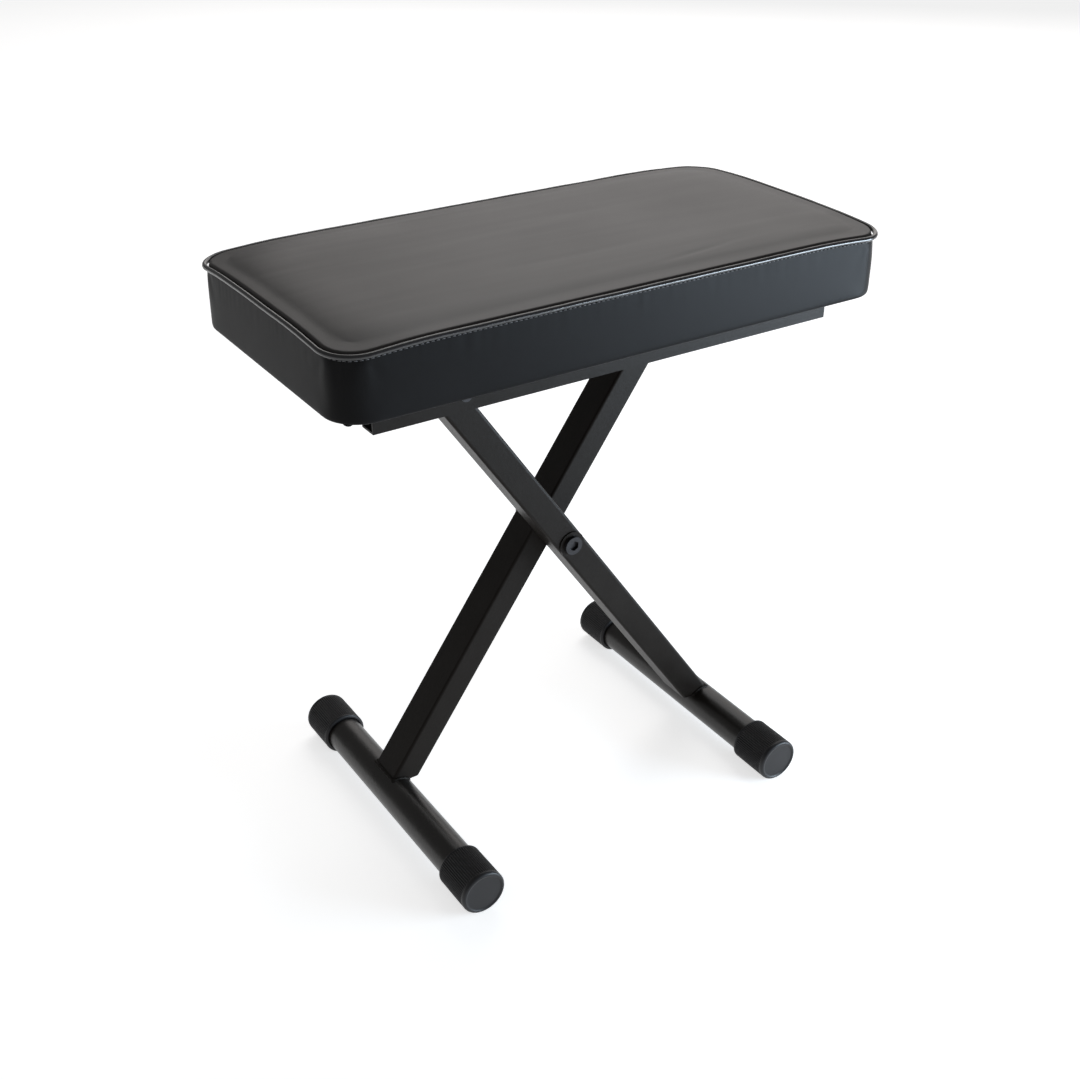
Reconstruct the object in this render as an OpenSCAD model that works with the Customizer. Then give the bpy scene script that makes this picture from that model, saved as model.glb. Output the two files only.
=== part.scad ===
// Folding piano bench: a padded seat on a single X frame of steel tube.
// +X runs along the seat, +Y goes from the front to the back, +Z is up.
// The origin is on the floor, under the middle of the seat.

/* [Seat] */
// Length of the seat over its border
seat_len = 600; // [500:5:720]
// Depth of the seat over its border, front to back
seat_depth = 297; // [280:1:360]
// Height of the border, from the underside up to the piping
border_h = 66; // [45:1:90]
// Height that the top rises above the piping
crown_h = 9; // [4:1:14]
// Width of the sloping shoulder round the flat of the top
shoulder_w = 42; // [30:1:60]
// Radius of the seat's upright corners
corner_r = 34; // [24:1:50]
// Thickness of the leatherette
cover_t = 1.4; // [1:0.1:2]
// Diameter of the piping
piping_d = 5; // [4:0.5:7]
// Width of the hem folded in under the board
hem_w = 28; // [24:0.2:34]
// Thickness of the plywood board
board_t = 12; // [9:1:18]
// Thickness of the cloth under the board
dust_cloth_t = 0.8; // [0.5:0.1:1]
// Distance between staples along an edge
staple_pitch = 75; // [50:5:110]

/* [Rails] */
// How far the rails run on past the middle of the last notch
rail_end = 13.8; // [10:0.2:25]
// Height of each rail
rail_h = 27; // [22.5:0.5:32]
// Depth of each rail's flanges
rail_w = 20; // [18:1:24]
// Thickness of the rail's steel
rail_t = 2; // [1.5:0.5:2.5]
// Gap between each rail and the edge of the hem beside it
rail_hem_gap = 3.6; // [3:0.2:15]
// Diameter of the screws that hold the rails to the board
screw_d = 6; // [5:1:6]

/* [Legs] */
// Lean of each leg from upright at the highest setting
leg_angle = 35; // [32:1:38]
// Lean of each leg when the bench is folded down
fold_angle = 75; // [60:1:75]
// Length of a leg from its foot to the centre pivot
lower_arm = 338; // [300:1:380]
// Length of a leg from the centre pivot to its crossbar
upper_arm = 287; // [270:1:344]
// Width of the leg tube, seen from the front
leg_w = 30; // [25:1:32]
// Depth of the leg tube, front to back
leg_d = 40; // [30:1:45]
// Thickness of the leg tube's wall
leg_wall = 1.8; // [1.2:0.1:2.5]
// Radius of the leg tube's long edges
leg_edge_r = 3; // [2:0.5:4]
// Gap between the two legs
leg_gap = 6; // [4:0.5:10]
// Height, above the middle of the foot tube, where a leg is sawn off
leg_foot_cut = 14; // [8:1:17]
// Drop in height from one setting to the next
height_step = 35; // [25:1:37]
// Number of height settings
height_count = 3; // [1:1:3]

/* [Crossbars] */
// Diameter of the crossbars on top of the legs
bar_d = 16; // [14:1:17]
// Thickness of a crossbar's wall
bar_wall = 2; // [1.5:0.5:2.5]
// Distance from the top of a rail down to the middle of a crossbar
bar_drop = 12; // [12:0.5:13]
// Diameter of the hinge bolts and of the roller axles
axle_d = 8; // [6:1:8]

/* [Feet] */
// Diameter of the foot tubes
foot_d = 40; // [32:1:45]
// Thickness of a foot tube's wall
foot_wall = 1.5; // [1.2:0.1:2.5]
// Length of each foot tube without its caps
foot_len = 353; // [300:1:450]
// Outer diameter of the rubber caps
cap_d = 49; // [47:1:58]
// Length of each rubber cap
cap_len = 50; // [30:1:70]
// Thickness of a cap's end wall
cap_end = 4; // [3:0.5:8]

/* [Centre pivot] */
// Diameter of the pivot bolt
pivot_d = 10; // [8:1:12]
// Diameter of the round plate under the bolt's head
plate_d = 29; // [24:1:34]
// Thickness of the round plate
plate_t = 1.5; // [1.5:0.5:4]
// Diameter of the bolt's head
head_d = 20; // [18:1:22]
// Height of the bolt's head
head_h = 4; // [3.5:0.5:8]
// Width across the flats of the head's socket
socket_w = 10; // [6:1:12]

/* [Hidden] */
$fn = 64;

// Running clearances: round a turning pin, beside a turning face, over a roller.
pin_gap = 0.05;
face_gap = 0.1;
roller_gap = 0.3;
// Clearance kept under the seat while the legs fold.
under_gap = 1;
// Clearance between soft layers of the seat.
layer_gap = 0.1;

leg_len = lower_arm + upper_arm;
foot_z = cap_d / 2;
foot_x = lower_arm * sin(leg_angle);
pivot_z = foot_z + lower_arm * cos(leg_angle);
bar_x = upper_arm * sin(leg_angle);
bar_z = foot_z + leg_len * cos(leg_angle);
lane = (leg_gap + leg_d) / 2;

hem_edge_x = seat_len / 2 - cover_t - hem_w;
hem_edge_y = seat_depth / 2 - cover_t - hem_w;
rail_top = bar_z + bar_drop;
rail_y = hem_edge_y - rail_hem_gap;
web_y = rail_y - rail_t;
board_z = rail_top + dust_cloth_t;
seat_z = board_z - cover_t;
piping_z = seat_z + border_h;

// Where the far crossbar stands along the seat once the seat has dropped.
function bar_x_after(drop) =
    2 * upper_arm * sin(acos((leg_len * cos(leg_angle) - drop) / leg_len)) - bar_x;

notch_w = 10;
notch_depth = 12;
notch_x = [for (i = [0 : height_count - 1]) bar_x_after(i * height_step)];
// The rails are sawn to a whole number of millimetres.
rail_half = round(notch_x[height_count - 1] + rail_end);

// The rollers clear whichever flange is the nearer.
roller_d = 2 * (min(bar_drop, rail_h - bar_drop) - rail_t - roller_gap);
roller_w = 10;
bush_d = axle_d + 2;
bush_flange_t = 1.2;
bush_flange_d = 15;
bolt_head_d = axle_d + 2.5;
bolt_head_h = 3;
insert_len = 16;
near_bar_half = web_y - bush_flange_t - face_gap;
axle_head_t = 1.5;
axle_end = web_y - roller_gap;
roller_end = axle_end - axle_head_t - face_gap;
far_bar_half = roller_end - roller_w - face_gap;

screw_y = rail_y - rail_w / 2 - 1;
screw_end_x = (bar_x_after(height_step) + bar_x_after(2 * height_step)) / 2;
screw_x = [-screw_end_x, -75, 75, screw_end_x];
screw_head_d = screw_d + 4;
nut_barrel_d = screw_d + 2;
nut_flange_d = 19;
nut_flange_t = 1.5;

sleeve_d = pivot_d + 6;
rear_washer_d = 24;
nut_w = pivot_d + 7;
nut_h = 9;
leg_face = leg_gap / 2 + leg_d;

steel_black = "#1b1c1f";
rubber_black = "#2a2a2b";

// ---- outlines -------------------------------------------------------------

module rounded_rect(l, w, r) {
    square([l - 2 * r, w], center = true);
    square([l, w - 2 * r], center = true);
    for (sx = [-1, 1], sy = [-1, 1])
        translate([sx * (l / 2 - r), sy * (w / 2 - r)]) circle(r);
}

module seat_outline(inset) {
    rounded_rect(seat_len - 2 * inset, seat_depth - 2 * inset, corner_r - inset);
}

// A round bar along Y, centred on y = 0.
module bar_along_y(d, len) {
    rotate([90, 0, 0]) cylinder(d = d, h = len, center = true);
}

// A round bar along Y between two distances from the middle, on one side.
module stub_along_y(d, from, to, side) {
    translate([0, side * (from + to) / 2, 0]) bar_along_y(d, abs(to - from));
}

// ---- seat -----------------------------------------------------------------

// The crowned top, from the piping up; inset makes the smaller inner form.
module crown(inset) {
    hull()
        for (a = [0 : 30 : 90])
            let (run = shoulder_w * (1 - cos(a)))
            translate([0, 0, piping_z - 0.01 + (crown_h - inset) * sin(a)])
                linear_extrude(0.01)
                    rounded_rect(
                        seat_len - 2 * inset - 2 * run,
                        seat_depth - 2 * inset - 2 * run,
                        max(corner_r - inset - 0.6 * run, 6),
                        $fn = 32
                    );
}

module piping_ring(d) {
    straight_x = seat_len - 2 * corner_r;
    straight_y = seat_depth - 2 * corner_r;
    translate([0, 0, piping_z]) {
        for (s = [-1, 1]) {
            translate([0, s * seat_depth / 2, 0])
                rotate([0, 90, 0]) cylinder(d = d, h = straight_x, center = true);
            translate([s * seat_len / 2, 0, 0]) bar_along_y(d, straight_y);
        }
        for (sx = [-1, 1], sy = [-1, 1])
            translate([sx * straight_x / 2, sy * straight_y / 2, 0])
                rotate([0, 0, sx > 0 ? (sy > 0 ? 0 : -90) : (sy > 0 ? 90 : 180)])
                    rotate_extrude(angle = 90) translate([corner_r, 0]) circle(d = d);
    }
}

module seat_piping() {
    color("#161618") piping_ring(piping_d);
}

module cover_top() {
    color("#2a2725")
        difference() {
            crown(0);
            translate([0, 0, -0.02]) crown(cover_t);
            piping_ring(piping_d);
        }
}

module cover_border() {
    color("#242529")
        difference() {
            translate([0, 0, seat_z]) linear_extrude(border_h) seat_outline(0);
            translate([0, 0, board_z]) linear_extrude(border_h) seat_outline(cover_t);
            translate([0, 0, seat_z - 1])
                linear_extrude(cover_t + 2) square([2 * hem_edge_x, 2 * hem_edge_y], center = true);
            piping_ring(piping_d);
            // The hem is cut away, and drilled, where a rail is long enough to cross it.
            for (side = [-1, 1]) rail_blank(side, face_gap);
            each_screw() cylinder(d = nut_barrel_d, h = 20, center = true);
        }
}

module seat_foam() {
    foam_z = board_z + board_t;
    color("#d8c98a")
        difference() {
            union() {
                translate([0, 0, foam_z])
                    linear_extrude(piping_z - foam_z) seat_outline(cover_t + layer_gap);
                crown(cover_t + layer_gap);
            }
            piping_ring(piping_d + 2 * layer_gap);
        }
}

module seat_board() {
    color("#b98f5e")
        difference() {
            translate([0, 0, board_z]) linear_extrude(board_t) seat_outline(cover_t + layer_gap);
            each_screw() {
                cylinder(d = nut_barrel_d, h = 60, center = true);
                translate([0, 0, board_z + board_t - rail_top - nut_flange_t])
                    cylinder(d = nut_flange_d, h = 20);
            }
        }
}

module dust_cloth() {
    cloth_gap = 2;
    color("#101012")
        difference() {
            translate([0, 0, rail_top])
                linear_extrude(dust_cloth_t)
                    square([2 * hem_edge_x - cloth_gap, 2 * hem_edge_y - cloth_gap], center = true);
            each_screw() cylinder(d = nut_barrel_d, h = 20, center = true);
        }
}

// One staple under the seat, its crown along X and its legs pointing up.
module staple(from_z) {
    wire = 0.6;
    width = 10;
    leg = 6;
    translate([0, 0, from_z]) {
        translate([-width / 2, -wire / 2, -wire]) cube([width, wire, wire]);
        for (s = [-1, 1])
            translate([s * (width - wire) / 2 - wire / 2, -wire / 2, -wire]) cube([wire, wire, leg]);
    }
}

// Staples along all four sides of a rectangle.
module staple_row(half_x, half_y, from_z) {
    for (s = [-1, 1]) {
        n_x = floor((half_x - corner_r) / staple_pitch);
        n_y = floor((half_y - corner_r) / staple_pitch);
        for (i = [-n_x : n_x]) translate([i * staple_pitch, s * half_y, 0]) staple(from_z);
        for (i = [-n_y : n_y])
            translate([s * half_x, i * staple_pitch, 0]) rotate([0, 0, 90]) staple(from_z);
    }
}

module cover_staples() {
    color("silver") {
        staple_row(hem_edge_x + 8, hem_edge_y + 8, seat_z);
        staple_row(hem_edge_x - 2.5, hem_edge_y - 2, rail_top);
    }
}

// ---- rails ----------------------------------------------------------------

// Places its children at each rail screw, at the top of the rails.
module each_screw() {
    for (x = screw_x, s = [-1, 1]) translate([x, s * screw_y, rail_top]) children();
}

// The taper under a countersunk head, as deep as the rail is thick.
module countersink() {
    translate([0, 0, -rail_t]) cylinder(d1 = screw_head_d, d2 = screw_d, h = rail_t);
}

// The block that a rail fills, grown on every side by a clearance.
module rail_blank(side, grown) {
    translate([0, side * (rail_y - rail_w / 2), rail_top - rail_h / 2])
        cube([2 * rail_half, rail_w, rail_h] + 2 * grown * [1, 1, 1], center = true);
}

// A channel with its web outside and its flanges turned in.
module rail(side) {
    color(steel_black)
        difference() {
            rail_blank(side, 0);
            translate([0, side * (web_y - rail_w / 2), rail_top - rail_h / 2])
                cube([2 * rail_half + 2, rail_w, rail_h - 2 * rail_t], center = true);
            // Notches in the top flange, one for each height setting.
            for (x = notch_x)
                translate([x, side * (roller_end - roller_w / 2), rail_top])
                    cube([notch_w, notch_depth, 3 * rail_t], center = true);
            // Hole for the hinge bush.
            translate([-bar_x, side * rail_y, bar_z]) bar_along_y(bush_d, 4 * rail_t);
            each_screw() countersink();
        }
}

module front_rail() {
    rail(-1);
}

module rear_rail() {
    rail(1);
}

module rail_screws() {
    color("#3a3a3c")
        each_screw() {
            countersink();
            cylinder(d = screw_d, h = dust_cloth_t + board_t - 0.5);
        }
}

module tee_nuts() {
    color("silver")
        each_screw()
            translate([0, 0, dust_cloth_t])
                difference() {
                    union() {
                        translate([0, 0, 2]) cylinder(d = nut_barrel_d, h = board_t - 2);
                        translate([0, 0, board_t - nut_flange_t])
                            cylinder(d = nut_flange_d, h = nut_flange_t);
                    }
                    cylinder(d = screw_d, h = 60, center = true);
                }
}

module hinge_bushes() {
    color("#e6e3da")
        for (s = [-1, 1])
            translate([-bar_x, 0, bar_z])
                difference() {
                    union() {
                        stub_along_y(bush_d, web_y, rail_y, s);
                        stub_along_y(bush_flange_d, web_y - bush_flange_t, web_y, s);
                    }
                    stub_along_y(axle_d + 2 * pin_gap, web_y - 5, rail_y + 5, s);
                }
}

// ---- legs -----------------------------------------------------------------

// side is 1 for the near leg, whose foot is on the right, and -1 for the far leg.
module leg(side) {
    y = -side * lane;
    color(steel_black)
        difference() {
            translate([side * foot_x, y, foot_z])
                rotate([0, -side * leg_angle, 0])
                    linear_extrude(leg_len + bar_d / 2)
                        difference() {
                            rounded_rect(leg_w, leg_d, leg_edge_r);
                            rounded_rect(leg_w - 2 * leg_wall, leg_d - 2 * leg_wall,
                                leg_edge_r - leg_wall);
                        }
            // Sawn off level above the foot tube, and shaped over it.
            translate([side * foot_x, y, foot_z + leg_foot_cut - 50])
                cube([150, leg_d + 4, 100], center = true);
            translate([side * foot_x, 0, foot_z]) bar_along_y(foot_d, foot_len);
            // Shaped under the crossbar, with the corner ground off to clear the seat.
            translate([-side * bar_x, 0, bar_z]) {
                bar_along_y(bar_d, 2 * near_bar_half);
                for (a = [leg_angle : 10 : fold_angle])
                    rotate([0, side * (a - leg_angle), 0])
                        translate([0, y, bar_drop - under_gap + 50])
                            cube([200, leg_d + 4, 100], center = true);
            }
            translate([0, y, pivot_z]) bar_along_y(sleeve_d, leg_d + 4);
        }
}

module near_leg() {
    leg(1);
}

module far_leg() {
    leg(-1);
}

module leg_sleeve(side, bore) {
    color("#55585c")
        translate([0, -side * lane, pivot_z])
            difference() {
                bar_along_y(sleeve_d, leg_d);
                bar_along_y(bore, leg_d + 2);
            }
}

module near_leg_sleeve() {
    leg_sleeve(1, pivot_d);
}

module far_leg_sleeve() {
    leg_sleeve(-1, pivot_d + 2 * pin_gap);
}

// ---- crossbars ------------------------------------------------------------

module crossbar(x, half_len) {
    color(steel_black)
        translate([x, 0, bar_z])
            difference() {
                bar_along_y(bar_d, 2 * half_len);
                bar_along_y(bar_d - 2 * bar_wall, 2 * half_len + 2);
            }
}

module bar_inserts(x, half_len) {
    color("#8d9094")
        translate([x, 0, bar_z])
            for (s = [-1, 1])
                difference() {
                    stub_along_y(bar_d - 2 * bar_wall, half_len - insert_len, half_len, s);
                    stub_along_y(axle_d - 2, half_len - insert_len - 1, half_len + 1, s);
                }
}

module near_crossbar() {
    crossbar(-bar_x, near_bar_half);
}

module near_bar_inserts() {
    bar_inserts(-bar_x, near_bar_half);
}

module far_crossbar() {
    crossbar(bar_x, far_bar_half);
}

module far_bar_inserts() {
    bar_inserts(bar_x, far_bar_half);
}

// Low-headed shoulder bolts through the rails into the near crossbar.
module hinge_bolts() {
    color("#2c2d30")
        translate([-bar_x, 0, bar_z])
            for (s = [-1, 1]) {
                stub_along_y(axle_d - 2, near_bar_half - insert_len + 2, near_bar_half, s);
                stub_along_y(axle_d, near_bar_half, rail_y + face_gap, s);
                difference() {
                    stub_along_y(bolt_head_d, rail_y + face_gap, rail_y + bolt_head_h, s);
                    translate([0, s * (rail_y + bolt_head_h), 0])
                        rotate([90, 0, 0]) cylinder(d = 5.8, h = 3, center = true, $fn = 6);
                }
            }
}

module roller_axles() {
    color("#8d9094")
        translate([bar_x, 0, bar_z])
            for (s = [-1, 1]) {
                stub_along_y(axle_d - 2, far_bar_half - insert_len + 2, far_bar_half, s);
                stub_along_y(axle_d, far_bar_half, roller_end + face_gap, s);
                stub_along_y(axle_d + 4, roller_end + face_gap, axle_end, s);
            }
}

module track_rollers() {
    color("#e6e3da")
        translate([bar_x, 0, bar_z])
            for (s = [-1, 1])
                difference() {
                    stub_along_y(roller_d, roller_end - roller_w, roller_end, s);
                    stub_along_y(axle_d + 2 * pin_gap, roller_end - roller_w - 1, roller_end + 1, s);
                }
}

// ---- feet -----------------------------------------------------------------

module foot_tube(x) {
    color(steel_black)
        translate([x, 0, foot_z])
            difference() {
                bar_along_y(foot_d, foot_len);
                bar_along_y(foot_d - 2 * foot_wall, foot_len + 2);
            }
}

module foot_cap(x, end) {
    edge = 1.5;
    outer = foot_len / 2 + cap_end;
    color(rubber_black)
        translate([x, 0, foot_z])
            difference() {
                union() {
                    stub_along_y(cap_d, outer - cap_len, outer - edge, end);
                    translate([0, end * (outer - edge), 0])
                        rotate([-90 * end, 0, 0])
                            cylinder(d1 = cap_d, d2 = cap_d - 2 * edge, h = edge);
                }
                stub_along_y(foot_d, outer - cap_len - 1, foot_len / 2, end);
            }
}

module right_foot() {
    foot_tube(foot_x);
}

module left_foot() {
    foot_tube(-foot_x);
}

module right_front_cap() {
    foot_cap(foot_x, -1);
}

module right_rear_cap() {
    foot_cap(foot_x, 1);
}

module left_front_cap() {
    foot_cap(-foot_x, -1);
}

module left_rear_cap() {
    foot_cap(-foot_x, 1);
}

// ---- centre pivot ---------------------------------------------------------

plate_y = -leg_face - plate_t;
nut_y = leg_face + face_gap + plate_t;

module pivot_bolt() {
    color("#2c2d30")
        translate([0, 0, pivot_z])
            difference() {
                union() {
                    translate([0, plate_y - head_h, 0])
                        rotate([-90, 0, 0]) cylinder(d = head_d, h = head_h);
                    translate([0, plate_y, 0])
                        rotate([-90, 0, 0]) cylinder(d = pivot_d, h = nut_y + nut_h + 2 - plate_y);
                }
                translate([0, plate_y - head_h - 1, 0])
                    rotate([-90, 30, 0])
                        cylinder(d = socket_w / cos(30), h = head_h * 0.8 + 1, $fn = 6);
            }
}

module round_plate(d, from, t) {
    translate([0, from, pivot_z])
        rotate([-90, 0, 0])
            difference() {
                cylinder(d = d, h = t);
                translate([0, 0, -1]) cylinder(d = pivot_d, h = t + 2);
            }
}

module pivot_plate() {
    color(steel_black) round_plate(plate_d, plate_y, plate_t);
}

module pivot_spacer() {
    color("#e6e3da") round_plate(26, -leg_gap / 2, leg_gap - face_gap);
}

module pivot_rear_washer() {
    color("silver") round_plate(rear_washer_d, leg_face + face_gap, plate_t);
}

module pivot_nut() {
    color("silver")
        translate([0, nut_y, pivot_z])
            rotate([-90, 0, 0])
                difference() {
                    union() {
                        cylinder(d = nut_w / cos(30), h = nut_h - 3, $fn = 6);
                        cylinder(d = nut_w - 2, h = nut_h);
                    }
                    translate([0, 0, -1]) cylinder(d = pivot_d, h = nut_h + 2);
                }
}

// ---- what is drawn --------------------------------------------------------

seat_board();
seat_foam();
cover_top();
cover_border();
seat_piping();
dust_cloth();
cover_staples();
tee_nuts();
front_rail();
rear_rail();
rail_screws();
hinge_bushes();
near_leg();
near_crossbar();
near_bar_inserts();
hinge_bolts();
right_foot();
right_front_cap();
right_rear_cap();
near_leg_sleeve();
pivot_bolt();
pivot_plate();
pivot_spacer();
pivot_rear_washer();
pivot_nut();
far_leg();
far_crossbar();
far_bar_inserts();
roller_axles();
track_rollers();
left_foot();
left_front_cap();
left_rear_cap();
far_leg_sleeve();
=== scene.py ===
import math

import bmesh
import bpy
import numpy as np
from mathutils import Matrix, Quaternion, Vector, noise


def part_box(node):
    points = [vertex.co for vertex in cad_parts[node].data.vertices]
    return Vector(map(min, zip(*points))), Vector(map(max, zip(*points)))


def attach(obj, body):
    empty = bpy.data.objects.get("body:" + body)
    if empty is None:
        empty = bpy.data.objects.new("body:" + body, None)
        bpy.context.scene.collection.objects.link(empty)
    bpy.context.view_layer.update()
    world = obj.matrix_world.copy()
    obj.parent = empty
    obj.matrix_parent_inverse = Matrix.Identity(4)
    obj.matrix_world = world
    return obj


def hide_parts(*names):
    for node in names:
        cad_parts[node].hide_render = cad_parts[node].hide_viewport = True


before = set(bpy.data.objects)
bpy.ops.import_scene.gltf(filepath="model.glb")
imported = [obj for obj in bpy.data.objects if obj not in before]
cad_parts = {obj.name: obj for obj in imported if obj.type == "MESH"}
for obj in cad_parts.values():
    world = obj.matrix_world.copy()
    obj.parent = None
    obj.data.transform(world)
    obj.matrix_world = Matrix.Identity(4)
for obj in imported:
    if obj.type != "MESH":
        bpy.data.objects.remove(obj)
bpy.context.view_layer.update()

# ---- seat board -------------------------------------------------------------
# A sheet of birch plywood sawn to the seat's outline, sanded and left bare.
# It carries the foam on top and the rails below, and is hidden once covered.


class Shade:
    """A socket in a material's nodes. Arithmetic on it adds Math nodes."""

    def __init__(self, tree, socket=None):
        self.tree = tree
        self.socket = socket

    def node(self, kind, settings=(), inputs=(), output=0):
        """Adds any other node: its settings are set first, and then its inputs."""
        made = self.tree.nodes.new("ShaderNode" + kind)
        for name, value in dict(settings).items():
            setattr(made, name, value)
        for name, value in dict(inputs).items():
            if isinstance(value, Shade):
                self.tree.links.new(value.socket, made.inputs[name])
            else:
                made.inputs[name].default_value = value
        return Shade(self.tree, made.outputs[output]) if made.outputs else None

    def math(self, operation, first, second):
        return self.node("Math", {"operation": operation}, {0: first, 1: second})

    def __add__(self, other):
        return self.math("ADD", self, other)

    __radd__ = __add__

    def __mul__(self, other):
        return self.math("MULTIPLY", self, other)

    __rmul__ = __mul__

    def blend(self, first, second):
        """The first colour where this value is 0, and the second where it is 1."""
        return self.node("Mix", {"data_type": "RGBA"}, {0: self, 6: first, 7: second}, 2)

    def scaled(self, x, y, z):
        return self.node("VectorMath", {"operation": "MULTIPLY"}, {0: self, 1: (x, y, z)})

    def cloud(self, scale, detail=2.0, roughness=0.5):
        """Soft noise, about 0 to 1, over these coordinates."""
        return self.node(
            "TexNoise", {}, {"Vector": self, "Scale": scale, "Detail": detail, "Roughness": roughness}
        )

    def bump(self, height, distance, strength=1.0, under=None):
        inputs = {"Height": height, "Distance": distance, "Strength": strength}
        if under is not None:
            inputs["Normal"] = under
        return self.node("Bump", {}, inputs)


def new_finish(name):
    """A new material, and the Shade of its object coordinates in metres."""
    made = bpy.data.materials.new(name)
    made.use_nodes = True
    made.node_tree.nodes.clear()
    return made, Shade(made.node_tree).node("TexCoord", output="Object")


def lay_on(place, sockets):
    """Ends a finish: one Principled shader with these sockets, and the output."""
    shader = place.node("BsdfPrincipled", {}, sockets)
    place.node("OutputMaterial", {}, {"Surface": shader})


def dress(finish, *nodes):
    """Gives CAD nodes their finish."""
    for name in nodes:
        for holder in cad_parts[name].material_slots:
            holder.material = finish


def soften(width, *nodes):
    """Rounds the sharp edges of CAD nodes, as tumbling and paint leave them."""
    for name in nodes:
        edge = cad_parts[name].modifiers.new("Edges", "BEVEL")
        edge.width = width
        edge.segments = 2
        edge.limit_method = "ANGLE"
        edge.angle_limit = math.radians(40)
        edge.harden_normals = True


def plywood():
    made, place = new_finish("birch_plywood")
    grain = place.scaled(6, 90, 90).cloud(1.0, 6, 0.65)
    plies = place.scaled(0, 0, 1).node(
        "TexWave", {"wave_type": "BANDS", "bands_direction": "Z"}, {"Scale": 105.0}, 1
    )
    wood = grain.blend((0.50, 0.33, 0.18, 1), (0.72, 0.54, 0.34, 1))
    lay_on(place, {
        "Base Color": (plies * 0.25).blend(wood, (0.30, 0.18, 0.09, 1)),
        "Roughness": grain * 0.2 + 0.6,
        "Normal": place.bump(grain, 0.0003, 0.5),
    })
    return made


dress(plywood(), "seat_board")

# ---- padded seat ------------------------------------------------------------
# A foam block with a crowned top, pulled tight in black leatherette: one top
# panel and one border, sewn together, drawn down over the board and folded
# in under it as a hem. The stretched cover bellies out between its seams.

BORDER_LOW, BORDER_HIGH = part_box("cover_border")
CROWN_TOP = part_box("cover_top")[1].z
SEAM_Z = sum(corner.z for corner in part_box("seat_piping")) / 2
HALF_LENGTH, HALF_DEPTH = BORDER_HIGH.x, BORDER_HIGH.y
CORNER_RADIUS = 0.034
LONG_CELLS, SHORT_CELLS = 118, 57
# The tight cover presses the foam down, and draws the seam down with it.
FOAM_SINK = 0.0018
SIDE_DIP, CORNER_DIP, DIP_REACH = 0.0022, 0.0040, 0.055


def seat_outline(inset, long_cells=LONG_CELLS, short_cells=SHORT_CELLS, radius=CORNER_RADIUS):
    """The four sides of the seat's outline, each from the middle of one corner to the
    middle of the next, drawn in by one distance."""
    sides = []
    turns = [((1, 0), (0, -1)), ((0, 1), (1, 0)), ((-1, 0), (0, 1)), ((0, -1), (-1, 0))]
    for along, out in turns:
        along, out = np.array(along, float), np.array(out, float)
        half_along, half_out = (HALF_LENGTH, HALF_DEPTH) if along[0] else (HALF_DEPTH, HALF_LENGTH)
        cells = long_cells if along[0] else short_cells
        arc = radius * math.pi / 4
        straight = 2 * (half_along - radius)
        points = []
        for i in range(cells + 1):
            s = (2 * arc + straight) * i / cells
            if s < arc:
                turn, centre = s / radius - math.pi / 4, -(half_along - radius)
            elif s > arc + straight:
                turn, centre = (s - arc - straight) / radius, half_along - radius
            else:
                turn, centre = 0.0, s - arc - straight / 2
            facing = math.sin(turn) * along + math.cos(turn) * out
            points.append(centre * along + (half_out - radius) * out + (radius - inset) * facing)
        sides.append(points)
    return sides


def ring_of(sides, z):
    """One closed ring of corners from the four sides of an outline."""
    return [Vector((p[0], p[1], z)) for side in sides for p in side[:-1]]


def patch_within(front, right, back, left):
    """A grid of points spread evenly between the four sides of a closed ring."""
    back, left = back[::-1], left[::-1]
    rows = []
    for j in range(len(right)):
        v = j / (len(right) - 1)
        row = []
        for i in range(len(front)):
            u = i / (len(front) - 1)
            edges = (1 - v) * front[i] + v * back[i] + (1 - u) * left[j] + u * right[j]
            corners = (
                (1 - u) * (1 - v) * front[0] + u * (1 - v) * front[-1]
                + (1 - u) * v * back[0] + u * v * back[-1]
            )
            row.append(edges - corners)
        rows.append(row)
    return rows


class Skin:
    """A mesh that is put together from rings and grids of points."""

    def __init__(self):
        self.mesh = bmesh.new()

    def ring(self, points):
        return [self.mesh.verts.new(p) for p in points]

    def join(self, first, second, closed=True):
        count = len(first)
        for i in range(count if closed else count - 1):
            j = (i + 1) % count
            self.mesh.faces.new((first[i], first[j], second[j], second[i]))

    def loft(self, rings, closed=True):
        """Joins each ring of points to the next, and returns the rings of corners."""
        made = [self.ring(points) for points in rings]
        for first, second in zip(made, made[1:]):
            self.join(first, second, closed)
        return made

    def fill_grid(self, ring, rows):
        """Fills a ring with a grid whose outer points are the ring's own corners."""
        high, wide = len(rows), len(rows[0])
        edge = {}
        walk = [(0, i) for i in range(wide - 1)]
        walk += [(j, wide - 1) for j in range(high - 1)]
        walk += [(high - 1, i) for i in range(wide - 1, 0, -1)]
        walk += [(j, 0) for j in range(high - 1, 0, -1)]
        for corner, at in zip(ring, walk):
            edge[at] = corner
        grid = [
            [edge.get((j, i)) or self.mesh.verts.new(rows[j][i]) for i in range(wide)]
            for j in range(high)
        ]
        for j in range(high - 1):
            for i in range(wide - 1):
                self.mesh.faces.new((grid[j][i], grid[j][i + 1], grid[j + 1][i + 1], grid[j + 1][i]))

    def cap(self, ring, centre):
        """Closes a ring with a fan to one point."""
        middle = self.mesh.verts.new(centre)
        for i in range(len(ring)):
            self.mesh.faces.new((ring[i], ring[(i + 1) % len(ring)], middle))

    def piece(self, name, finish):
        """Ends the mesh as a Blender object."""
        bmesh.ops.recalc_face_normals(self.mesh, faces=self.mesh.faces)
        data = bpy.data.meshes.new(name)
        self.mesh.to_mesh(data)
        self.mesh.free()
        data.shade_smooth()
        data.materials.append(finish)
        made = bpy.data.objects.new(name, data)
        bpy.context.scene.collection.objects.link(made)
        return made


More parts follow.
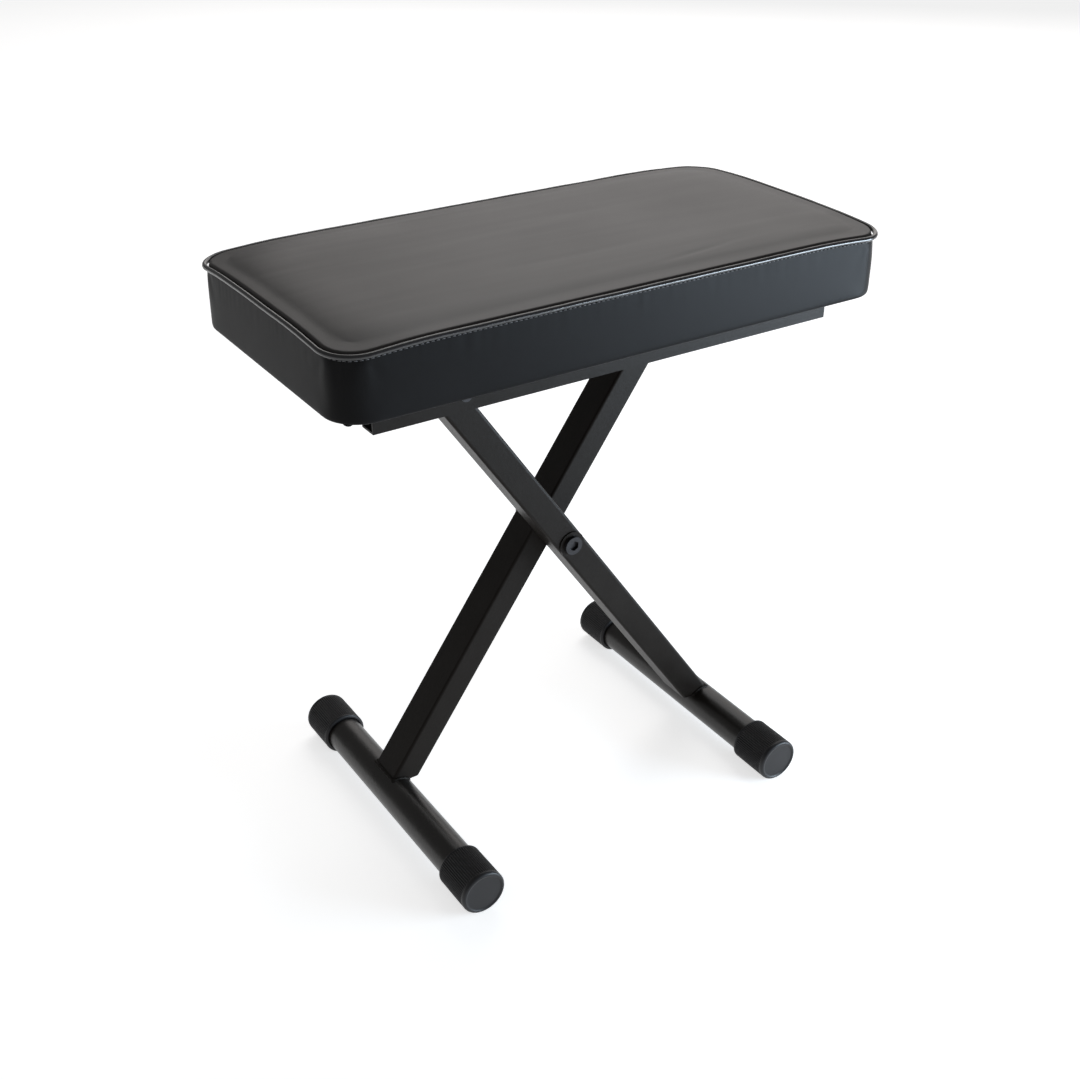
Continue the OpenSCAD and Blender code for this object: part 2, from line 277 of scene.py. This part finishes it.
def leatherette(name, dark, light, shine, roughness):
    """Black vinyl with a fine pebbled grain over a cloth backing."""
    made, place = new_finish(name)
    patches = place.cloud(7.0, 3, 0.6)
    streaks = place.scaled(5, 55, 55).cloud(1.0, 4, 0.6)
    pebbles = place.node("TexVoronoi", {"feature": "SMOOTH_F1"}, {"Vector": place, "Scale": 1100.0})
    grain = place.bump(pebbles, 0.00012, 0.35)
    lay_on(place, {
        "Base Color": patches.blend(dark, light),
        "Roughness": patches * 0.08 + streaks * 0.05 + roughness,
        "Specular IOR Level": shine,
        "Normal": place.bump(streaks, 0.0004, 0.06, under=grain),
    })
    return made


# The top panel is polished by use and shines more, and the border keeps a dull factory finish. Both are
# one vinyl: the top's lighter, warmer colour is painted sheen, and the border's darker, faintly blue
# colour is painted shade with a painted cool reflection.
top_leather_painted_sheen = leatherette(
    "leatherette_top_painted_sheen", (0.0105, 0.0088, 0.0080, 1), (0.0165, 0.0138, 0.0124, 1), 0.42, 0.38
)
border_leather_shaded_copy = leatherette(
    "leatherette_border_shaded_copy", (0.0050, 0.0050, 0.0054, 1), (0.0085, 0.0085, 0.0090, 1), 0.05, 0.34
)


def crown_height(point):
    """Height of the top panel over the seam at a point. It rises steeply inside the
    outline, flattens towards the middle and is rounded off at the corners."""
    shoulder, squareness, steepness = 0.105, 6.6, 5.5
    from_end = max(0, shoulder - (HALF_LENGTH - abs(point[0])))
    from_side = max(0, shoulder - (HALF_DEPTH - abs(point[1])))
    inset = shoulder - (from_end ** squareness + from_side ** squareness) ** (1 / squareness)
    share = min(max(inset / shoulder, 0), 1)
    return (CROWN_TOP - SEAM_Z - FOAM_SINK) * (1 - (1 - share) ** steepness)


def seam_dip(point):
    """How far the pull of the cover draws the seam down, most of all at the corners."""
    to_corner = math.hypot(HALF_LENGTH - abs(point[0]), HALF_DEPTH - abs(point[1]))
    return SIDE_DIP + CORNER_DIP * math.exp(-((to_corner / DIP_REACH) ** 2))


def build_cushion():
    """The closed form of the seat, with the indices of the points the seams hold."""
    skin = Skin()
    beyond_cloth = 0.001
    hem_edge = HALF_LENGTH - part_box("dust_cloth")[1].x - beyond_cloth
    board_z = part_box("seat_board")[0].z
    bottom = BORDER_LOW.z
    height = SEAM_Z - bottom
    fold_height, sewn_strip = 0.0022, 0.013
    # Each row is how far it runs inside the outline, and its height. They go out
    # under the hem, round the lower fold, up the border and over the seam to the top.
    rows = [(hem_edge, board_z + 0.0004), (hem_edge, bottom), (0.022, bottom), (0.013, bottom)]
    rows += [(0.006, bottom), (0.0032, bottom + 0.0001), (0.0014, bottom + 0.0008)]
    rows += [(0.0004, bottom + fold_height)]
    held_low = len(rows)
    for step in range(1, 11):
        rows.append((0.0, bottom + fold_height + (height - fold_height - sewn_strip) * step / 10))
    rows += [(0.0002, SEAM_Z - 0.0105), (0.0007, SEAM_Z - 0.008), (0.0014, SEAM_Z - 0.006)]
    held_high = len(rows)
    rows += [(0.0021, SEAM_Z - 0.0044), (0.0027, SEAM_Z - 0.0030), (0.0032, SEAM_Z - 0.0014)]
    rows += [(0.0036, SEAM_Z + 0.0004), (0.0042, SEAM_Z + 0.0018), (0.0052, SEAM_Z + 0.0029)]
    for inset in (0.0068, 0.009, 0.0122, 0.0165, 0.0215):
        rows.append((inset, CROWN_TOP))
    rings = skin.loft([ring_of(seat_outline(inset), z) for inset, z in rows])
    sides = [[Vector((p[0], p[1], CROWN_TOP)) for p in side] for side in seat_outline(rows[-1][0])]
    skin.fill_grid(rings[-1], patch_within(*sides))
    top = [corner for corner in skin.mesh.verts if corner.co.z >= CROWN_TOP - 1e-6]
    # The panel comes out of the seam at this distance inside the side, and this high.
    start_inset, start_rise = 0.004, 0.0026
    at_seam = SEAM_Z + start_rise - crown_height((0, HALF_DEPTH - start_inset))
    for corner in top:
        corner.co.z = at_seam + crown_height(corner.co)
    under = [[Vector((p[0], p[1], rows[0][1])) for p in side] for side in seat_outline(hem_edge)]
    skin.fill_grid(rings[0], patch_within(*under))
    skin.mesh.verts.ensure_lookup_table()
    skin.mesh.verts.index_update()
    free = {corner.index for ring in rings[held_low:held_high] for corner in ring}
    free |= {corner.index for corner in top}
    held = [v.index for v in skin.mesh.verts if v.index not in free]
    return skin.piece("padded_seat", top_leather_painted_sheen), held


def inflate(piece, held, pressure, frames, reach):
    """Lets the cover swell like cloth over foam. The seams hold the points in held, and
    no point ends further than reach from where the pattern put it."""
    group = piece.vertex_groups.new(name="seams")
    group.add(held, 1.0, "REPLACE")
    cloth = piece.modifiers.new("Swell", "CLOTH")
    cloth.settings.vertex_group_mass = "seams"
    cloth.settings.use_pressure = True
    cloth.settings.uniform_pressure_force = pressure
    cloth.settings.effector_weights.gravity = 0
    cloth.settings.mass = 0.2
    cloth.settings.tension_stiffness = 18
    cloth.settings.compression_stiffness = 18
    cloth.settings.shear_stiffness = 8
    cloth.settings.bending_stiffness = 1.5
    cloth.settings.shrink_min = 0.006
    cloth.collision_settings.use_self_collision = False
    cloth.point_cache.frame_start = 1
    cloth.point_cache.frame_end = frames
    scene = bpy.context.scene
    for step in range(1, frames + 1):
        scene.frame_set(step)
    view = bpy.context.evaluated_depsgraph_get()
    moved = [v.co.copy() for v in piece.evaluated_get(view).data.vertices]
    piece.modifiers.remove(cloth)
    piece.vertex_groups.remove(group)
    scene.frame_set(1)
    for vertex, target in zip(piece.data.vertices, moved):
        step = target - vertex.co
        vertex.co += step * min(1, reach / max(step.length, 1e-9))


cushion, seams = build_cushion()
inflate(cushion, seams, pressure=4, frames=20, reach=0.0025)


def subdivide(piece, levels):
    """Applies a smooth subdivision to a finished mesh."""
    fine = piece.modifiers.new("Fine", "SUBSURF")
    fine.levels = fine.render_levels = levels
    view = bpy.context.evaluated_depsgraph_get()
    data = bpy.data.meshes.new_from_object(piece.evaluated_get(view))
    piece.modifiers.remove(fine)
    piece.data = data


subdivide(cushion, 1)


def puckers(point):
    """How far the cover stands in or out at a point, from creases left by sewing."""
    along = math.atan2(point.y / HALF_DEPTH, point.x / HALF_LENGTH) * 5
    below = (SEAM_Z - point.z) / 0.02
    gather = noise.noise(Vector((along * 9, 0, 3))) + 0.6 * noise.noise(Vector((along * 23, 4, 1)))
    near_seam = math.exp(-((below - 0.55) ** 2) * 2.2)
    return 0.00014 * gather * near_seam


def crease_in_top(point):
    """Long shallow wrinkles in the top panel, and one soft crease towards the right."""
    long_waves = noise.noise(Vector((point.x * 5, point.y * 38, 0.5)))
    fine_waves = noise.noise(Vector((point.x * 9, point.y * 95, 7.5)))
    start, end, half_width = Vector((0.035, -0.113)), Vector((0.150, -0.100)), 0.004
    run = end - start
    here = Vector((point.x, point.y)) - start
    share = here.dot(run) / run.length_squared
    aside = here.dot(Vector((-run.y, run.x)).normalized())
    fold = math.exp(-((aside / half_width) ** 2)) * math.exp(-((share - 0.5) ** 2) * 9)
    return 0.00022 * long_waves + 0.00010 * fine_waves - 0.0007 * fold


facing = [v.normal.copy() for v in cushion.data.vertices]
smooth_edge, fade_in = 0.012, 0.02
border_start = BORDER_LOW.z + 0.004
seam_clearance = 0.003
for vertex, normal in zip(cushion.data.vertices, facing):
    co = vertex.co
    inset = min(HALF_LENGTH - abs(co.x), HALF_DEPTH - abs(co.y))
    if co.z > SEAM_Z + seam_clearance and inset > smooth_edge:
        co.z += crease_in_top(co) * min(1, (inset - smooth_edge) / fade_in)
    elif border_start < co.z < SEAM_Z - seam_clearance:
        co += Vector((normal.x, normal.y, 0)) * puckers(co)
cushion.data.materials.append(border_leather_shaded_copy)
for face in cushion.data.polygons:
    face.material_index = 0 if face.center.z > SEAM_Z else 1
for vertex in cushion.data.vertices:
    share = (vertex.co.z - border_start) / (SEAM_Z - border_start)
    vertex.co.z -= seam_dip(vertex.co) * min(1, max(0, share))
cushion.data.shade_smooth()

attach(cushion, "seat")
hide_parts("cover_top", "cover_border", "seat_foam")

# ---- piping -----------------------------------------------------------------
# A cord wrapped in a bias strip of the same leatherette and sewn into the
# seam all round the top, made here as one closed tube.


def piping_skin():
    made, place = new_finish("piping_leatherette")
    grain = place.cloud(1500.0, 2, 0.6)
    folds = place.cloud(140.0, 3, 0.6)
    lay_on(place, {
        "Base Color": folds.blend((0.006, 0.006, 0.007, 1), (0.012, 0.012, 0.013, 1)),
        "Roughness": folds * 0.08 + 0.13,
        "Specular IOR Level": 0.6,
        "Normal": place.bump(grain, 0.00015, 0.4, under=place.bump(folds, 0.0006, 0.35)),
    })
    return made


def tube_rings(path, radii, sides, closed):
    """Rings of points round a path, kept upright so that they don't twist."""
    rings = []
    count = len(path)
    for i, (centre, radius) in enumerate(zip(path, radii)):
        before = path[i - 1] if (closed or i) else path[0]
        after = path[(i + 1) % count] if (closed or i < count - 1) else path[-1]
        along = (after - before).normalized()
        across = along.cross(Vector((0, 0, 1)))
        if across.length < 0.01:
            across = along.cross(Vector((0, 1, 0)))
        across.normalize()
        upright = across.cross(along)
        rings.append([
            centre + radius * (math.cos(turn) * across + math.sin(turn) * upright)
            for turn in (2 * math.pi * k / sides for k in range(sides))
        ])
    return rings


PIPING_RADIUS = 0.0025
piping_path = ring_of(seat_outline(-0.0002, 236, 114), SEAM_Z)
for i, point in enumerate(piping_path):
    point.z += 0.00035 * noise.noise(Vector((i * 0.05, 2, 0))) - seam_dip(point)
piping_radii = [
    PIPING_RADIUS + 0.00010 * noise.noise(Vector((i * 0.21, 5, 0))) for i in range(len(piping_path))
]
skin = Skin()
piping_rings = skin.loft(tube_rings(piping_path, piping_radii, 14, True))
skin.join(piping_rings[-1], piping_rings[0])
piping = skin.piece("seat_piping_roll", piping_skin())
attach(piping, "seat")
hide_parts("seat_piping")

# ---- stitches ---------------------------------------------------------------
# Black polyester thread in a lockstitch just under the piping, five
# millimetres to the stitch. Each stitch dips into its needle holes.


def thread_finish():
    made, place = new_finish("polyester_thread")
    strands = place.cloud(2500.0, 2, 0.5)
    lay_on(place, {
        "Base Color": strands.blend((0.035, 0.035, 0.038, 1), (0.08, 0.08, 0.085, 1)),
        "Roughness": strands * 0.2 + 0.4,
        "Normal": place.bump(strands, 0.0001, 0.6),
    })
    return made


# Points stand a millimetre apart round the outline, and thread shows at four in five.
POINTS_PER_STITCH = 5
BELOW_SEAM, NEEDLE_DIP = 0.0038, 0.0005
THREAD_RADII = [0.00022, 0.00055, 0.00055, 0.00022]
around = [p for side in seat_outline(0.0018, 588, 284) for p in side[:-1]]
skin = Skin()
for k in range(0, len(around) - 2, POINTS_PER_STITCH):
    path = []
    for step in range(len(THREAD_RADII)):
        p = around[(k + step) % len(around)]
        dip = NEEDLE_DIP if step in (0, len(THREAD_RADII) - 1) else 0
        path.append(Vector((p[0], p[1], SEAM_Z - seam_dip(p) - BELOW_SEAM - dip)))
    rings = skin.loft(tube_rings(path, THREAD_RADII, 6, False))
    skin.cap(rings[0], path[0])
    skin.cap(rings[-1], path[-1])
stitches = skin.piece("seam_stitches", thread_finish())
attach(stitches, "seat")

# ---- hem pleats -------------------------------------------------------------
# At each corner the hem is gathered into three folds under the board, and
# the staples pull them flat. The folds show as small lumps at the corners.

FOLD_ANGLE, FOLD_TUCK = 0.42, 0.009
skin = Skin()
for sx in (-1, 1):
    for sy in (-1, 1):
        pivot = Vector((sx * (HALF_LENGTH - CORNER_RADIUS), sy * (HALF_DEPTH - CORNER_RADIUS), 0))
        middle = math.atan2(sy, sx)
        for fold in (-1, 0, 1):
            turn = middle + fold * FOLD_ANGLE
            tuck = FOLD_TUCK * abs(fold)
            out = Vector((math.cos(turn), math.sin(turn), 0))
            side = Vector((-out.y, out.x, 0))
            rings = []
            for reach, width, thick in (
                (CORNER_RADIUS - 0.0014, 0.0016, 0.0006), (CORNER_RADIUS - 0.004, 0.0040, 0.0024),
                (CORNER_RADIUS - 0.010, 0.0050, 0.0026), (CORNER_RADIUS - 0.018, 0.0042, 0.0019),
                (CORNER_RADIUS - 0.027, 0.0026, 0.0009),
            ):
                centre = pivot + out * (reach - tuck)
                centre.z = BORDER_LOW.z + 0.0003
                rings.append([
                    centre + side * width * math.cos(a) + Vector((0, 0, -thick * max(0, math.sin(a))))
                    for a in (math.pi * k / 8 - 0.2 for k in range(10))
                ])
            made = skin.loft(rings)
            skin.cap(made[0], rings[0][4])
            skin.cap(made[-1], rings[-1][4])
pleats = skin.piece("hem_pleats", border_leather_shaded_copy)
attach(pleats, "seat")

# ---- cloth under the seat ---------------------------------------------------
# Black non-woven cloth, stapled over the raw edge of the hem to keep dust
# out. It is drawn tight, so only faint ripples run between the staples.


def under_cloth_finish():
    made, place = new_finish("non_woven_cloth")
    fibres = place.cloud(2200.0, 4, 0.7)
    bonds = place.node(
        "TexVoronoi", {"feature": "F1"}, {"Vector": place, "Scale": 420.0, "Randomness": 0.25}
    )
    lay_on(place, {
        "Base Color": fibres.blend((0.005, 0.005, 0.006, 1), (0.018, 0.018, 0.020, 1)),
        "Roughness": fibres * 0.15 + 0.8,
        "Sheen Weight": 0.03,
        "Specular IOR Level": 0.15,
        "Normal": place.bump(fibres, 0.0003, 0.5, under=place.bump(bonds, 0.0003, 0.5)),
    })
    return made


cloth_low, cloth_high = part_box("dust_cloth")
skin = Skin()
cells_x, cells_y = 108, 48
faces = []
for z in (cloth_low.z, cloth_high.z):
    grid = []
    for j in range(cells_y + 1):
        row = []
        for i in range(cells_x + 1):
            x = cloth_low.x + (cloth_high.x - cloth_low.x) * i / cells_x
            y = cloth_low.y + (cloth_high.y - cloth_low.y) * j / cells_y
            row.append(Vector((x, y, z)))
        grid.append(row)
    faces.append(grid)
rail_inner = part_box("front_rail")[1].y
flat_margin = 0.02
for row in faces[0]:
    for point in row:
        clear = min(1, max(0, (abs(rail_inner) - abs(point.y)) / flat_margin))
        edge = min(1, (cloth_high.x - abs(point.x)) / flat_margin)
        ripple = noise.noise(Vector((point.x * 22, point.y * 16, 1)))
        point.z -= (0.0002 + 0.0004 * max(0, ripple)) * clear * max(0, edge)
grids = [[skin.ring(row) for row in grid] for grid in faces]
for grid in grids:
    for first, second in zip(grid, grid[1:]):
        skin.join(first, second, closed=False)
lower, upper = grids
rims = []
for grid in (lower, upper):
    rim = grid[0][:-1] + [row[-1] for row in grid[:-1]]
    rim += grid[-1][:0:-1] + [row[0] for row in grid[:0:-1]]
    rims.append(rim)
skin.join(rims[0], rims[1])
under_cloth = skin.piece("under_cloth", under_cloth_finish())
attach(under_cloth, "seat")
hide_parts("dust_cloth")

# ---- staples, tee nuts and screws -------------------------------------------
# Zinc-plated staples hold the hem and the cloth. Zinc-plated tee nuts are
# pressed into the board, and black countersunk screws hold the rails to them.


def zinc_plate():
    made, place = new_finish("zinc_plate")
    spangle = place.cloud(260.0, 3, 0.6)
    brushed = place.scaled(400, 400, 2600).cloud(1.0, 2, 0.5)
    lay_on(place, {
        "Base Color": spangle.blend((0.50, 0.51, 0.52, 1), (0.66, 0.67, 0.68, 1)),
        "Metallic": 1.0,
        "Roughness": spangle * 0.15 + brushed * 0.1 + 0.22,
        "Normal": place.bump(brushed, 0.00005, 0.3),
    })
    return made


def black_oxide():
    made, place = new_finish("black_oxide_steel")
    worn = place.cloud(190.0, 4, 0.6)
    lay_on(place, {
        "Base Color": worn.blend((0.012, 0.012, 0.014, 1), (0.032, 0.032, 0.035, 1)),
        "Metallic": 0.6,
        "Roughness": worn * 0.18 + 0.28,
        "Normal": place.bump(place.cloud(1800.0, 2, 0.5), 0.00006, 0.4),
    })
    return made


zinc, oxide = zinc_plate(), black_oxide()
dress(zinc, "cover_staples", "tee_nuts")
dress(oxide, "rail_screws")

# ---- rails ------------------------------------------------------------------
# Two channels folded from 2 mm sheet, with notches punched in the top flange
# for the rollers, then powder coated. Sheet leaves a crisp, lightly rounded
# edge that catches the light.


def powder_coat(name, roughness, shine):
    """Baked black powder paint with a fine even pebble."""
    made, place = new_finish(name)
    pebble = place.cloud(1700.0, 3, 0.65)
    flow = place.cloud(260.0, 2, 0.5)
    dust = place.cloud(30.0, 3, 0.6)
    lay_on(place, {
        "Base Color": dust.blend((0.0065, 0.0052, 0.0043, 1), (0.0115, 0.0095, 0.0080, 1)),
        "Roughness": pebble * 0.12 + dust * 0.10 + roughness,
        "Specular IOR Level": shine,
        "Normal": place.bump(pebble, 0.00012, 0.5, under=place.bump(flow, 0.0004, 0.3)),
    })
    return made


coat = powder_coat("black_powder_coat", 0.30, 0.10)
dress(coat, "front_rail", "rear_rail")
soften(0.0006, "front_rail", "rear_rail")

# ---- hinge bushes -----------------------------------------------------------
# Natural nylon bushes pressed into the rails, where the near leg's crossbar
# turns. The same nylon makes the rollers and the spacer between the legs.


def natural_nylon():
    made, place = new_finish("natural_nylon")
    haze = place.cloud(60.0, 3, 0.5)
    lay_on(place, {
        "Base Color": haze.blend((0.62, 0.59, 0.50, 1), (0.74, 0.72, 0.65, 1)),
        "Roughness": haze * 0.15 + 0.38,
        "Subsurface Weight": 0.08,
        "Normal": place.bump(place.cloud(900.0, 2, 0.5), 0.00006, 0.3),
    })
    return made


nylon = natural_nylon()
dress(nylon, "hinge_bushes", "pivot_spacer", "track_rollers")

# ---- legs and crossbars -----------------------------------------------------
# Each leg is one length of 30 x 40 mm steel tube, welded at the top to a
# round crossbar and at the bottom to its foot tube, then powder coated whole.

dress(coat, "near_leg", "far_leg", "near_crossbar", "far_crossbar")
dress(zinc, "near_bar_inserts", "far_bar_inserts", "near_leg_sleeve", "far_leg_sleeve")
dress(zinc, "roller_axles")
dress(oxide, "hinge_bolts")

# ---- foot tubes -------------------------------------------------------------
# Round 40 mm steel tube under each leg, in the same powder coat. The drawn
# tube is smoother than the legs' steel, so the paint on it is glossier.

dress(powder_coat("black_gloss_coat", 0.20, 0.45), "right_foot", "left_foot")

# ---- welds ------------------------------------------------------------------
# A bead of weld runs where each leg stands on its foot tube and where it
# meets its crossbar, under the paint. The welder's ripples still show.

FOOT_RADIUS = (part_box("right_foot")[1].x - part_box("right_foot")[0].x) / 2
LEG_ANGLE = math.radians(35)
LEG_HALF_WIDTH, LEG_HALF_DEPTH = 0.015, 0.020
SAWN_HEIGHT = 0.014
FOOT_BEAD, BAR_BEAD = 0.0019, 0.0015
BAR_SEAM_RADIUS, BAR_SEAM_POINTS = 0.0084, 26


def centre_of(node):
    low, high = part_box(node)
    return (low + high) / 2


def bead(skin, path, radius):
    """A rippled bead of weld along a closed path."""
    radii = [
        radius * (1 + 0.13 * math.sin(i * 2.1) + 0.12 * noise.noise(Vector((i * 0.4, radius * 900, 0))))
        for i in range(len(path))
    ]
    rings = skin.loft(tube_rings(path, radii, 8, True))
    skin.join(rings[-1], rings[0])


def foot_weld(side, lane_y):
    """The path round a leg on its foot tube; side is 1 on the right."""
    lean = math.tan(LEG_ANGLE)
    edge = LEG_HALF_WIDTH / math.cos(LEG_ANGLE)
    a, b, c = 1 + lean ** 2, -2 * edge * lean, edge ** 2 - FOOT_RADIUS ** 2
    top = (-b + math.sqrt(b * b - 4 * a * c)) / (2 * a)
    outer = math.atan2(top, edge - lean * top)
    inner = math.pi - math.asin(SAWN_HEIGHT / FOOT_RADIUS)
    turns = [outer + (inner - outer) * k / 10 for k in range(11)]
    arc = [(FOOT_RADIUS * math.cos(t), FOOT_RADIUS * math.sin(t)) for t in turns]
    bead_stands_off = 0.0004
    half = LEG_HALF_DEPTH + bead_stands_off
    path = [(x, -half, z) for x, z in arc]
    path += [(arc[-1][0], -half + 2 * half * k / 16, arc[-1][1]) for k in range(1, 16)]
    path += [(x, half, z) for x, z in reversed(arc)]
    path += [(arc[0][0], half - 2 * half * k / 16, arc[0][1]) for k in range(1, 16)]
    centre = centre_of("right_foot" if side > 0 else "left_foot")
    return [Vector((centre.x + side * x, lane_y + y, centre.z + z)) for x, y, z in path]


for side, leg, crossbar, body in (
    (1, "near_leg", "near_crossbar", "near_leg_frame"),
    (-1, "far_leg", "far_crossbar", "far_leg_frame"),
):
    lane_y = centre_of(leg).y
    skin = Skin()
    bead(skin, foot_weld(side, lane_y), FOOT_BEAD)
    bar = centre_of(crossbar)
    for end in (-1, 1):
        circle = []
        for k in range(BAR_SEAM_POINTS):
            turn = 2 * math.pi * k / BAR_SEAM_POINTS
            x, z = bar.x + BAR_SEAM_RADIUS * math.cos(turn), bar.z + BAR_SEAM_RADIUS * math.sin(turn)
            circle.append(Vector((x, lane_y + end * LEG_HALF_DEPTH, z)))
        bead(skin, circle, BAR_BEAD)
    welds = skin.piece(leg + "_welds", coat)
    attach(welds, body)

# ---- foot caps --------------------------------------------------------------
# Moulded rubber caps pushed over the ends of the foot tubes. Fine ribs run
# along each cap between two plain rims, and the end is closed by a smooth
# disc inside a raised lip.

RIB_COUNT = 64
STEPS_PER_RIB = 6
RIB_DEPTH = 0.0011


def moulded_rubber():
    made, place = new_finish("moulded_rubber")
    skin_noise = place.cloud(900.0, 3, 0.6)
    scuffs = place.cloud(45.0, 4, 0.7)
    lay_on(place, {
        "Base Color": scuffs.blend((0.009, 0.009, 0.010, 1), (0.018, 0.018, 0.020, 1)),
        "Roughness": scuffs * 0.15 + 0.36,
        "Specular IOR Level": 0.30,
        "Normal": place.bump(skin_noise, 0.00012, 0.4),
    })
    return made


def foot_cap(node, rubber):
    """One cap in place of its CAD node; it lies along Y, open towards the middle."""
    low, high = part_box(node)
    middle = (low + high) / 2
    radius = (high.x - low.x) / 2
    outward = 1 if middle.y > 0 else -1
    mouth, end = sorted((low.y, high.y), key=abs)
    length = abs(end - mouth)
    bore = FOOT_RADIUS + 0.0001
    # Each row is the distance from the mouth, the radius, and the share of rib.
    rows = [(length - 0.004, bore, 0), (0.0, bore, 0), (0.0, radius - 0.0022, 0)]
    rows += [(0.0005, radius - 0.0010, 0), (0.0012, radius - 0.0001, 0), (0.0026, radius, 0)]
    rows += [(0.0032, radius - 0.0002, 0.4), (0.0042, radius - 0.0001, 1)]
    rows += [(length * 0.5, radius, 1), (length - 0.0062, radius, 1), (length - 0.0052, radius, 0.4)]
    rows += [(length - 0.0046, radius, 0), (length - 0.0032, radius, 0)]
    round_edge = 0.0030
    for step in range(1, 6):
        turn = math.pi / 2 * step / 5
        along = length - round_edge + round_edge * math.sin(turn)
        rows.append((along, radius - round_edge + round_edge * math.cos(turn), 0))
    rows += [(length - 0.0001, radius - 0.0034, 0), (length - 0.0009, radius - 0.0040, 0)]
    rows += [(length - 0.0010, radius - 0.0060, 0), (length - 0.0008, radius * 0.45, 0)]
    count = RIB_COUNT * STEPS_PER_RIB
    skin = Skin()
    rings = []
    for along, out, ribbed in rows:
        ring = []
        for k in range(count):
            turn = 2 * math.pi * k / count
            wave = 0.5 - 0.5 * math.cos(2 * math.pi * k / STEPS_PER_RIB)
            here = out - RIB_DEPTH * ribbed * wave ** 1.5
            x, z = middle.x + here * math.cos(turn), middle.z + here * math.sin(turn)
            ring.append(Vector((x, mouth + outward * along, z)))
        rings.append(ring)
    made = skin.loft(rings)
    skin.cap(made[0], Vector((middle.x, mouth + outward * rows[0][0], middle.z)))
    skin.cap(made[-1], Vector((middle.x, mouth + outward * (length - 0.0008), middle.z)))
    piece = skin.piece(node + "_ribbed", rubber)
    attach(piece, "near_leg_frame" if node.startswith("right") else "far_leg_frame")
    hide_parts(node)


rubber = moulded_rubber()
for cap_node in ("right_front_cap", "right_rear_cap", "left_front_cap", "left_rear_cap"):
    foot_cap(cap_node, rubber)

# ---- centre pivot -----------------------------------------------------------
# A black cap screw with a hexagon socket goes through a round plate, both
# legs and the nylon spacer, to a plated washer and lock nut at the back.

dress(oxide, "pivot_bolt")
dress(coat, "pivot_plate")
dress(zinc, "pivot_rear_washer", "pivot_nut")
soften(0.0007, "pivot_bolt", "pivot_plate")
soften(0.0004, "pivot_nut", "pivot_rear_washer")

# ---- studio -----------------------------------------------------------------
# The bench stands on a plain white floor with a pale wall far behind, under
# soft lights, and the camera looks down on it from the front left.


def floor_finish():
    made, place = new_finish("studio_floor")
    mottle = place.cloud(3.0, 2, 0.5)
    lay_on(place, {
        "Base Color": mottle.blend((0.86, 0.86, 0.86, 1), (0.90, 0.90, 0.90, 1)),
        "Roughness": mottle * 0.05 + 0.7,
        "Emission Color": (1.0, 1.0, 1.0, 1),
        "Emission Strength": 0.66,
        "Specular IOR Level": 0.0,
    })
    return made


FLOOR_REACH = 40.0
ends = (-FLOOR_REACH, FLOOR_REACH)
skin = Skin()
near_edge, far_edge = [skin.ring([Vector((x, y, 0)) for x in ends]) for y in ends]
skin.join(near_edge, far_edge, closed=False)
floor = skin.piece("floor", floor_finish())

# A round wall far off keeps every view pale and throws no light on the bench.
WALL_SIDES = 48
skin = Skin()
wall = []
for k in range(WALL_SIDES):
    turn = 2 * math.pi * k / WALL_SIDES
    wall.append(Vector((FLOOR_REACH * math.cos(turn), FLOOR_REACH * math.sin(turn), 0)))
skin.join(skin.ring(wall), skin.ring([point + Vector((0, 0, FLOOR_REACH)) for point in wall]))
backdrop = skin.piece("backdrop", floor_finish())
backdrop.visible_glossy = backdrop.visible_diffuse = backdrop.visible_shadow = False

world = bpy.data.worlds.new("studio")
world.use_nodes = True
world.node_tree.nodes["Background"].inputs["Color"].default_value = (1.0, 1.0, 1.0, 1)
world.node_tree.nodes["Background"].inputs["Strength"].default_value = 0.24
bpy.context.scene.world = world
bpy.context.scene.view_settings.view_transform = "Standard"


def softbox(name, place, aim, width, height, power, colour=(1, 1, 1)):
    """A large soft light that faces a point."""
    lamp = bpy.data.lights.new(name, "AREA")
    lamp.shape = "RECTANGLE"
    lamp.size, lamp.size_y = width, height
    lamp.energy = power
    lamp.color = colour
    made = bpy.data.objects.new(name, lamp)
    made.location = place
    made.rotation_mode = "QUATERNION"
    made.rotation_quaternion = (Vector(aim) - Vector(place)).to_track_quat("-Z", "Y")
    made.visible_camera = False
    bpy.context.scene.collection.objects.link(made)


# A wide warm light behind for the sheen on the top, a smaller one overhead for the
# line of light along the piping, and a low cool one for the right of the border.
softbox("back_light", (2.9, 3.2, 2.2), (0, 0, 0.5), 4.2, 2.6, 40, (1.0, 0.955, 0.93))
softbox("key_light", (1.0, 1.1, 2.5), (0.1, 0, 0.5), 1.4, 1.8, 12)
softbox("right_light", (1.35, -1.2, 0.32), (0.1, 0, 0.4), 1.1, 0.5, 44, (0.74, 0.87, 1.0))

AIM = Vector((-0.00752, 0.00498, 0.28530))
DISTANCE = 1.5335
AZIMUTH, ELEVATION, ROLL = math.radians(-33.27), math.radians(29.80), math.radians(0.23)
level = math.cos(ELEVATION)
back = Vector((math.sin(AZIMUTH) * level, -math.cos(AZIMUTH) * level, math.sin(ELEVATION)))
lens = bpy.data.cameras.new("camera")
lens.sensor_width = 36
lens.lens = 47.95
camera = bpy.data.objects.new("camera", lens)
camera.location = AIM + DISTANCE * back
camera.rotation_mode = "QUATERNION"
camera.rotation_quaternion = (-back).to_track_quat("-Z", "Y") @ Quaternion((0, 0, 1), ROLL)
bpy.context.scene.collection.objects.link(camera)
bpy.context.scene.camera = camera
